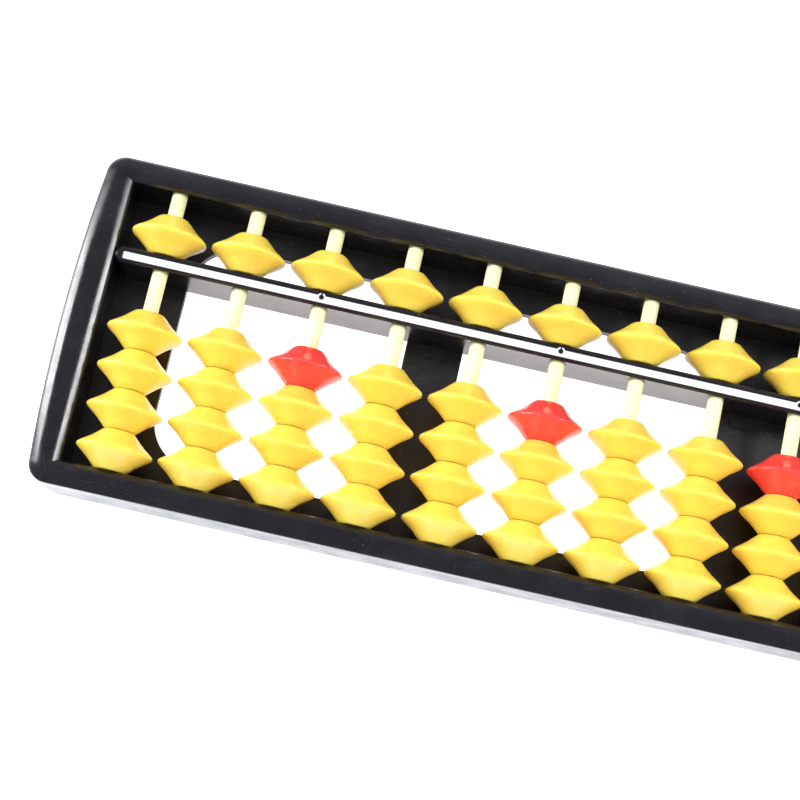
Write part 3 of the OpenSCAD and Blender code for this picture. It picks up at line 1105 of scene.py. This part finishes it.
@dataclass
class ReckoningBar:
    """The deep bar over the rods, its groove, and the pins that mark units."""

    layout: Layout
    half_width: float = 1.5
    end_gap: float = 0.1
    edge_r: float = 0.10
    ledge_w: float = 0.26
    ledge_drop: float = 0.30
    groove_half: float = 0.68
    groove_shift: float = -0.15
    groove_depth: float = 0.55
    groove_end: float = 1.5
    lip_r: float = 0.18
    bulge_r: float = 0.83
    strip_sunk: float = 0.15
    pin_r: float = 0.45
    pin_rise: float = 0.12
    pin_root: float = 0.1
    pin_shift: float = 0.35
    pin_crown: tuple[Flat, ...] = ((0.0, 0.06), (0.03, 0.02), (0.10, 0.0))
    stem_half: float = 0.13
    stem_fall: float = 0.05
    hole_r: float = 1.55
    hole_half: float = 3.0
    long_steps: int = 34
    end_steps: int = 20

    def stadium(self, inset: float) -> list[Flat]:
        """Outline of the bar with rounded ends.

        Args:
            inset: how far inwards.

        Returns:
            Points anticlockwise.
        """
        r = self.half_width - inset
        x = self.layout.inner_x - self.end_gap - self.half_width
        y = self.layout.bar_y
        shares = [2 * x * k / self.long_steps for k in range(self.long_steps)]
        out = [(x - share, y + r) for share in shares]
        out += arc((-x, y), r, 90.0, 270.0, self.end_steps)
        out += [(-x + share, y - r) for share in shares]
        return out + arc((x, y), r, -90.0, 90.0, self.end_steps)

    def groove_y(self) -> float:
        """Y of the middle of the groove."""
        return self.layout.bar_y + self.groove_shift

    def groove(self, grow: float) -> list[Flat]:
        """Outline of the groove or of the strip in it.

        Args:
            grow: how much wider than the groove it is drawn.

        Returns:
            Points anticlockwise, with a bulge round each unit pin.
        """
        x = self.layout.inner_x - self.groove_end + grow
        half = self.groove_half + grow
        r = self.bulge_r + grow
        y = self.groove_y()
        out: list[Flat] = [(x, y - half), (x, y + half)]
        lean = math.degrees(math.asin((half - self.pin_shift) / r))
        for rod in range(len(self.layout.rods), 0, -1):
            if self.layout.is_unit(rod):
                centre = (self.layout.rods[rod - 1], y + self.pin_shift)
                out += arc(centre, r, lean, 180.0 - lean, 16)
                out.append((centre[0] - r * math.cos(math.radians(lean)), y + half))
        out += [(-x, y + half), (-x, y - half)]
        return out

    def build(self) -> bpy.types.Object:
        """Build the bar with its groove, pins and rod holes.

        Returns:
            The bar.
        """
        top = self.layout.bar_z
        draft = MeshDraft()
        rings = [lift(self.stadium(0.0), self.layout.plate_z)]
        for start, high in ((0.0, top - self.ledge_drop), (self.ledge_w, top)):
            for k in range(0, 6):
                angle = math.radians(18.0 * k)
                inset = start + self.edge_r * (1.0 - math.cos(angle))
                rings.append(lift(self.stadium(inset), high - self.edge_r * (1.0 - math.sin(angle))))
        body = draft.sweep(rings)
        lip = [
            lift(
                self.groove(self.lip_r * (1.0 - math.sin(math.radians(a)))),
                top - self.lip_r * (1.0 - math.cos(math.radians(a))),
            )
            for a in (0.0, 22.5, 45.0, 67.5, 90.0)
        ]
        walls = draft.sweep(lip + [lift(self.groove(0.0), top - self.groove_depth)])
        draft.fill([body[-1], walls[0]])
        draft.fill([walls[-1]])
        draft.fill([body[0]])
        bar = draft.to_object("reckoning_bar_body")
        carve(bar, self.hole_tool())
        self.add_pins(bar)
        even_out(bar)
        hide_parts("reckoning_bar")
        return bar

    def hole_tool(self) -> bpy.types.Object:
        """The shape that bores the bar for every rod."""
        draft = MeshDraft()
        for x in self.layout.rods:
            place = (x, self.layout.bar_y, self.layout.rod_z)
            side = [(-self.hole_half, self.hole_r), (self.hole_half, self.hole_r)]
            draft.lathe(side, place, 32, closed=False)
        return draft.to_object("hole_tool")

    def add_pins(self, bar: bpy.types.Object) -> None:
        """Join the unit pins and their stems to the bar."""
        draft = MeshDraft()
        top = self.layout.bar_z
        low = top - self.groove_depth - self.pin_root
        face = top - self.strip_sunk + self.pin_rise
        far = self.layout.bar_y + self.half_width - self.ledge_w - self.edge_r
        for rod, x in enumerate(self.layout.rods, start=1):
            if not self.layout.is_unit(rod):
                continue
            y = self.groove_y() + self.pin_shift
            rings = [lift(arc((x, y), self.pin_r, 0.0, 360.0, 32), low)]
            for inset, fall in self.pin_crown:
                rings.append(lift(arc((x, y), self.pin_r - inset, 0.0, 360.0, 32), face - fall))
            numbers = draft.sweep(rings)
            draft.faces.append(tuple(numbers[0]))
            draft.faces.append(tuple(reversed(numbers[-1])))
            s = self.stem_half
            stem = [(x - s, y), (x + s, y), (x + s, far), (x - s, far)]
            numbers = draft.sweep([lift(stem, low), lift(stem, face - self.stem_fall)])
            draft.faces.append(tuple(numbers[0]))
            draft.faces.append(tuple(reversed(numbers[-1])))
        pins = draft.to_object("unit_pins")
        work = bmesh.new()
        work.from_mesh(bar.data)
        work.from_mesh(pins.data)
        work.to_mesh(bar.data)
        work.free()
        bpy.data.objects.remove(pins)
        smooth(bar, 32.0)

    def dress(self, bar: bpy.types.Object, finishes: Finishes) -> None:
        """Finish the bar and set it on the frame body."""
        dress(bar, finishes.bar)
        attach(bar, "frame")


@dataclass
class WhiteStrip:
    """The white strip let into the bar."""

    bar: ReckoningBar
    gap: float = 0.03
    thickness: float = 0.4
    edge: float = 0.04
    pin_gap: float = 0.03

    def build(self) -> bpy.types.Object:
        """Build the strip with a hole round each pin.

        Returns:
            The strip.
        """
        layout = self.bar.layout
        top = layout.bar_z - self.bar.strip_sunk
        low = top - self.thickness
        draft = MeshDraft()
        sides = draft.sweep([
            lift(self.bar.groove(-self.gap), low),
            lift(self.bar.groove(-self.gap), top - self.edge),
            lift(self.bar.groove(-self.gap - self.edge), top),
        ])
        holes = []
        for rod, x in enumerate(layout.rods, start=1):
            if layout.is_unit(rod):
                centre = (x, self.bar.groove_y() + self.bar.pin_shift)
                ring = arc(centre, self.bar.pin_r + self.pin_gap, 0.0, 360.0, 32)
                holes.append(draft.sweep([lift(ring, low), lift(ring, top)]))
        draft.fill([sides[-1]] + [hole[1] for hole in holes])
        draft.fill([sides[0]] + [hole[0] for hole in holes])
        strip = draft.to_object("bar_strip")
        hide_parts("bar_inlay")
        return strip

    def dress(self, strip: bpy.types.Object, finishes: Finishes) -> None:
        """Finish the strip and set it on the frame body."""
        dress(strip, finishes.strip)
        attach(strip, "frame")


@dataclass
class RodSet:
    """The rods, each with a faint parting line and softened ends."""

    layout: Layout
    seat: float = 1.5
    end_r: float = 0.25
    seam: float = 0.035
    seam_facets: tuple[int, int] = (8, 32)
    steps: int = 48
    stretches: int = 12

    def build(self) -> bpy.types.Object:
        """Build every rod in one mesh.

        Returns:
            The rods.
        """
        r = self.layout.rod_r
        reach = self.layout.inner_y + self.seat
        stations = [(-reach, r - self.end_r), (-reach + self.end_r, r)]
        span = 2 * reach - 2 * self.end_r
        for k in range(1, self.stretches):
            stations.append((-reach + self.end_r + span * k / self.stretches, r))
        stations += [(reach - self.end_r, r), (reach, r - self.end_r)]
        draft = MeshDraft()
        for x in self.layout.rods:
            rings = []
            for along, radius in stations:
                ring = []
                for k in range(self.steps):
                    turn = math.tau * k / self.steps
                    ridge = self.seam if k in self.seam_facets else 0.0
                    out = min(radius - self.seam + ridge, r)
                    across = x + out * math.sin(turn)
                    ring.append((across, along, self.layout.rod_z + out * math.cos(turn)))
                rings.append(ring)
            numbers = draft.sweep(rings)
            draft.faces.append(tuple(numbers[0]))
            draft.faces.append(tuple(reversed(numbers[-1])))
        rods = draft.to_object("rod_set", crease=50.0)
        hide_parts("rods")
        return rods

    def dress(self, rods: bpy.types.Object, finishes: Finishes) -> None:
        """Finish the rods and set them on the frame body."""
        dress(rods, finishes.rod)
        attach(rods, "frame")


@dataclass
class BeadShape:
    """One bead: two nearly straight cones, a rounded rim, flat faces and a chamfered bore."""

    layout: Layout
    face_r: float = 2.8
    rim_r: float = 0.45
    bore_r: float = 1.7
    bore_edge: float = 0.25
    face_edge: float = 0.05
    hollow: float = 0.13
    bore_ease: float = 0.3
    steps: int = 96
    edge_steps: int = 4
    flank_steps: int = 12
    rim_steps: int = 8

    def flank(self) -> list[Flat]:
        """Half of the section, from the face's edge to the tip of the rim.

        Returns:
            (distance along the rod, radius) pairs on the positive side.
        """
        half, face = self.layout.bead_half, self.face_r
        rim_x = self.layout.bead_r - self.rim_r
        run = rim_x - face
        reach = math.hypot(run, half)
        turn = math.pi - math.atan2(half, run) - math.acos(self.rim_r / reach)
        end = (self.rim_r * math.sin(turn), rim_x + self.rim_r * math.cos(turn))
        slope = math.hypot(end[1] - face, half - end[0])
        normal = ((end[1] - face) / slope, (half - end[0]) / slope)
        out: list[Flat] = []
        e = self.face_edge
        along = ((end[0] - half) / slope, (end[1] - face) / slope)
        for k in range(self.edge_steps + 1):
            s = k / self.edge_steps
            start = (half, face - e)
            corner = (half, face)
            stop = (half + along[0] * e, face + along[1] * e)
            out.append((
                (1 - s) ** 2 * start[0] + 2 * s * (1 - s) * corner[0] + s * s * stop[0],
                (1 - s) ** 2 * start[1] + 2 * s * (1 - s) * corner[1] + s * s * stop[1],
            ))
        for k in range(1, self.flank_steps):
            s = e / slope + (1 - e / slope) * k / self.flank_steps
            dip = self.hollow * math.sin(math.pi * s) ** 2
            out.append((
                half + along[0] * slope * s - normal[0] * dip,
                face + along[1] * slope * s - normal[1] * dip,
            ))
        for k in range(self.rim_steps + 1):
            a = turn * (1 - k / self.rim_steps)
            out.append((self.rim_r * math.sin(a), rim_x + self.rim_r * math.cos(a)))
        return out

    def profile(self) -> list[Flat]:
        """The whole closed section of the bead.

        Returns:
            (distance along the rod, radius) pairs round the section.
        """
        half, edge = self.layout.bead_half, self.bore_edge
        ease = self.bore_ease * edge
        right = self.flank()
        left = [(-a, r) for a, r in reversed(right[:-1])]
        bore = [
            (-half, self.bore_r + edge), (-half + ease, self.bore_r + ease),
            (-half + edge, self.bore_r), (0.0, self.bore_r), (half - edge, self.bore_r),
            (half - ease, self.bore_r + ease), (half, self.bore_r + edge),
        ]
        return bore + right + left

    def mesh(self, name: str, offsets: list[float]) -> bpy.types.Object:
        """Build beads in a row about the origin.

        Args:
            name: name of the object.
            offsets: places along Y.

        Returns:
            An object that holds the beads.
        """
        draft = MeshDraft()
        for offset in offsets:
            draft.lathe(self.profile(), (0.0, offset, 0.0), self.steps)
        return draft.to_object(name, crease=60.0)


@dataclass
class BeadColumns:
    """Every bead, each group on the body that slides it."""

    layout: Layout
    shape: BeadShape
    seed: int = 17
    masters: dict[str, bpy.types.Mesh] = field(default_factory=dict)

    def master(self, key: str, offsets: list[float]) -> bpy.types.Mesh:
        """Mesh of one bead or of a group, made once for each colour.

        Args:
            key: name of the mesh.
            offsets: places along Y.

        Returns:
            The mesh.
        """
        if key not in self.masters:
            maker = self.shape.mesh(key, offsets)
            self.masters[key] = maker.data
            bpy.data.objects.remove(maker)
        return self.masters[key]

    def place(self, name: str, mesh: bpy.types.Mesh, at: Point, spin: int) -> bpy.types.Object:
        """Put a bead object on its rod.

        Args:
            name: name of the object.
            mesh: the mesh it shows.
            at: centre in millimetres.
            spin: quarter turns about the rod.

        Returns:
            The object.
        """
        bead = bpy.data.objects.new(name, mesh)
        bpy.context.scene.collection.objects.link(bead)
        turn = Matrix.Rotation(spin * math.pi / 2, 4, "Y")
        bead.matrix_world = Matrix.Translation(Vector(at) * MM) @ turn
        return bead

    def build(self, finishes: Finishes) -> int:
        """Build every bead and set it on its body.

        Args:
            finishes: the finishes of the beads.

        Returns:
            How many bead objects were made.
        """
        lay = self.layout
        dice = random.Random(self.seed)
        middle = lay.lower_ys[1]
        single = {tint: self.master(f"bead {tint.value}", [0.0]) for tint in Tint}
        trio = self.master("three beads", [y - middle for y in lay.lower_ys])
        for tint, mesh in single.items():
            mesh.materials.append(finishes.beads[tint])
        trio.materials.append(finishes.beads[Tint.YELLOW])
        made = 0
        for rod, x in enumerate(lay.rods, start=1):
            top_tint = Tint.RED if lay.is_unit(rod) else Tint.YELLOW
            plan = (
                ("heaven", f"heaven_bead_{rod:02d}", single[Tint.YELLOW], lay.heaven_y, Tint.YELLOW),
                ("top", f"top_earth_bead_{rod:02d}", single[top_tint], lay.top_y, top_tint),
                ("lower", f"lower_earth_beads_{rod:02d}", trio, middle, Tint.YELLOW),
            )
            for body, node, mesh, y, tint in plan:
                at = (x, y, lay.rod_z)
                bead = self.place(f"{body}_look_{rod:02d}", mesh, at, dice.randrange(4))
                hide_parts(node)
                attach(bead, f"{body}_{rod:02d}")
                made += 1
        return made


@dataclass
class BaseScrews:
    """The screws in the underside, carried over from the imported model."""

    def build(self) -> bpy.types.Object:
        """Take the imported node.

        Returns:
            The screws.
        """
        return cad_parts["base_screws"]

    def dress(self, screws: bpy.types.Object, finishes: Finishes) -> None:
        """Finish the screws."""
        dress(screws, finishes.screw)


# ---------- surroundings ----------


@dataclass
class Studio:
    """Pale floor, soft light and the camera."""

    floor_half: float = 1400.0
    floor_z: float = -0.02
    camera_at: Point = (-71.44, -67.44, 319.27)
    camera_right: Point = (0.97545, 0.21500, 0.04761)
    camera_up: Point = (-0.22020, 0.95423, 0.20239)
    camera_back: Point = (-0.00191, -0.20790, 0.97815)
    lens: float = 78.582

    def floor(self) -> bpy.types.Object:
        """Lay a pale matt floor.

        Returns:
            The floor.
        """
        h = self.floor_half
        draft = MeshDraft()
        corners = lift([(-h, -h), (h, -h), (h, h), (-h, h)], self.floor_z)
        draft.faces.append(tuple(draft.ring(corners)))
        ground = draft.to_object("floor")
        surface = Surface("pale floor")
        graph = surface.graph
        where = graph.add("ShaderNodeTexCoord").outputs["Object"]
        tone = graph.ramp(graph.noise(where, 9.0, 3.0, 0.5), 0.3, 0.7)
        surface.feed("Base Color", graph.mix(tone, (0.93, 0.93, 0.94), (0.90, 0.90, 0.91)))
        surface.set(Roughness=0.35, Emission_Strength=1.15)
        surface.shader.inputs["Emission Color"].default_value = (0.97, 0.97, 1.06, 1.0)
        ground.data.materials.append(surface.material)
        return ground

    def sky(self) -> None:
        """Light the scene from a pale surround that is dimmer over the front."""
        world = bpy.data.worlds.new("soft surround")
        bpy.context.scene.world = world
        world.use_nodes = True
        graph = Graph(world.node_tree)
        world.node_tree.nodes.clear()
        where = graph.add("ShaderNodeTexCoord").outputs["Generated"]
        parts = graph.add("ShaderNodeSeparateXYZ")
        graph.link(where, parts.inputs[0])
        back = graph.ramp(parts.outputs["Y"], 0.05, 0.75)
        tone = graph.mix(back, (0.46, 0.46, 0.50), (0.70, 0.70, 0.76))
        glow = graph.add("ShaderNodeBackground")
        graph.link(tone, glow.inputs["Color"])
        glow.inputs["Strength"].default_value = 1.0
        out = graph.add("ShaderNodeOutputWorld")
        graph.link(glow.outputs[0], out.inputs["Surface"])

    def lamp(self, name: str, at: Point, size: Flat, power: float, mirrored: bool = True) -> None:
        """Hang a soft box that looks at the abacus.

        Args:
            name: name of the lamp.
            at: its place in millimetres.
            size: its width and height in millimetres.
            power: its power in watts.
            mirrored: whether glossy faces show it.
        """
        data = bpy.data.lights.new(name, "AREA")
        data.shape = "RECTANGLE"
        data.size, data.size_y = size[0] * MM, size[1] * MM
        data.energy = power
        lamp = bpy.data.objects.new(name, data)
        bpy.context.scene.collection.objects.link(lamp)
        place = Vector(at) * MM
        lamp.location = place
        lamp.rotation_euler = (-place).to_track_quat("-Z", "Y").to_euler()
        lamp.visible_camera = False
        lamp.visible_glossy = mirrored

    def camera(self) -> None:
        """Set the camera above the front of the abacus."""
        data = bpy.data.cameras.new("camera")
        data.lens = self.lens
        data.sensor_width = 36.0
        data.clip_start, data.clip_end = 0.01, 20.0
        camera = bpy.data.objects.new("camera", data)
        bpy.context.scene.collection.objects.link(camera)
        turn = Matrix((self.camera_right, self.camera_up, self.camera_back)).transposed().to_4x4()
        camera.matrix_world = Matrix.Translation(Vector(self.camera_at) * MM) @ turn
        bpy.context.scene.camera = camera

    def build(self) -> None:
        """Set up floor, light and camera."""
        self.floor()
        self.sky()
        self.lamp("left soft box", (-950.0, 170.0, 370.0), (220.0, 600.0), 10.0)
        self.lamp("left small lamp", (-750.0, 155.0, 640.0), (90.0, 90.0), 1.5)
        self.lamp("front fill", (-60.0, -700.0, 620.0), (800.0, 500.0), 3.4, mirrored=False)
        self.lamp("right soft box", (720.0, 225.0, 800.0), (190.0, 560.0), 8.0)
        self.camera()
        bpy.context.scene.view_settings.view_transform = "Standard"


def main() -> None:
    """Build every piece in order, finish it and report it."""
    logging.basicConfig(level=logging.INFO, format="%(name)s: %(message)s")
    Studio().build()
    layout = Layout.read()
    finishes = Finishes(layout.inner_x * MM)

    rails = FrameShell(layout)
    shell = rails.build()
    rails.dress(shell, finishes)
    log.info("rails: %d faces", len(shell.data.polygons))

    plate = BasePlate(layout)
    plate.dress(plate.build(), finishes)
    log.info("base plate: dressed")

    bar = ReckoningBar(layout)
    body = bar.build()
    bar.dress(body, finishes)
    log.info("reckoning bar: %d faces", len(body.data.polygons))

    strip = WhiteStrip(bar)
    strip.dress(strip.build(), finishes)
    log.info("strip: built")

    rods = RodSet(layout)
    rods.dress(rods.build(), finishes)
    log.info("rods: %d", len(layout.rods))

    made = BeadColumns(layout, BeadShape(layout)).build(finishes)
    log.info("bead objects: %d", made)

    screws = BaseScrews()
    screws.dress(screws.build(), finishes)
    log.info("screws: dressed")


if __name__ == "__main__":
    main()
